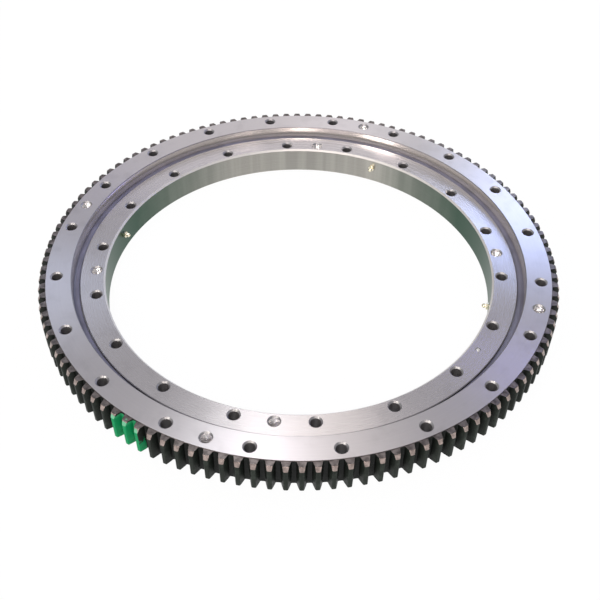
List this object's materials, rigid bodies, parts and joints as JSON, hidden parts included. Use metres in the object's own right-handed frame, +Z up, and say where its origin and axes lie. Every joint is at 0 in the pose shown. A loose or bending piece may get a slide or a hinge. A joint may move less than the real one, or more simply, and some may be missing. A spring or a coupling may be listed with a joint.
{
  "type": "slewing ring bearing",
  "caption": "Single-row ball slewing ring with external spur teeth on the turning outer ring, rubber seals, bolt circles in both rings and grease nipples in the bore.",
  "frame": {"origin": "on the ring axis, at the height of the inner ring's lower face", "axes": "+Z up along the ring axis, out of the outer ring's ground face; +X to the right in the picture, +Y away from the camera"},
  "size_m": [0.7428, 0.7428, 0.057],
  "materials": {
    "gear_steel": "ground faces",
    "ring_steel": "ground faces",
    "seal_rubber": "satin",
    "brass": "turned",
    "cage_nylon": "moulded"
  },
  "bodies": {
    "inner_ring_body": {"inner_ring": "ring_steel", "loading_plug": "ring_steel", "plug_taper_pin": "ring_steel", "grease_nipple_1": "brass", "grease_nipple_2": "brass", "grease_nipple_3": "brass", "lower_seal": "seal_rubber"},
    "outer_ring_body": {"outer_gear_ring": "gear_steel", "upper_seal": "seal_rubber"},
    "ball_train": {"cage_segment_01": "cage_nylon", "cage_segment_02": "cage_nylon", "cage_segment_03": "cage_nylon", "cage_segment_04": "cage_nylon", "cage_segment_05": "cage_nylon", "cage_segment_06": "cage_nylon", "cage_segment_07": "cage_nylon", "cage_segment_08": "cage_nylon", "cage_segment_09": "cage_nylon", "cage_segment_10": "cage_nylon", "cage_segment_11": "cage_nylon", "cage_segment_12": "cage_nylon"}
  },
  "joints": [
    {"name": "ring_slew", "type": "hinge", "parent": "inner_ring_body", "child": "outer_ring_body", "pos_m": [0, 0, 0.02675], "axis": [0, 0, 1], "continuous": true},
    {"name": "cage_orbit", "type": "hinge", "parent": "inner_ring_body", "child": "ball_train", "pos_m": [0, 0, 0.02675], "axis": [0, 0, 1], "continuous": true}
  ],
  "couplings": [
    {"joint": "cage_orbit", "follows": "ring_slew", "ratio": 0.5088}
  ]
}
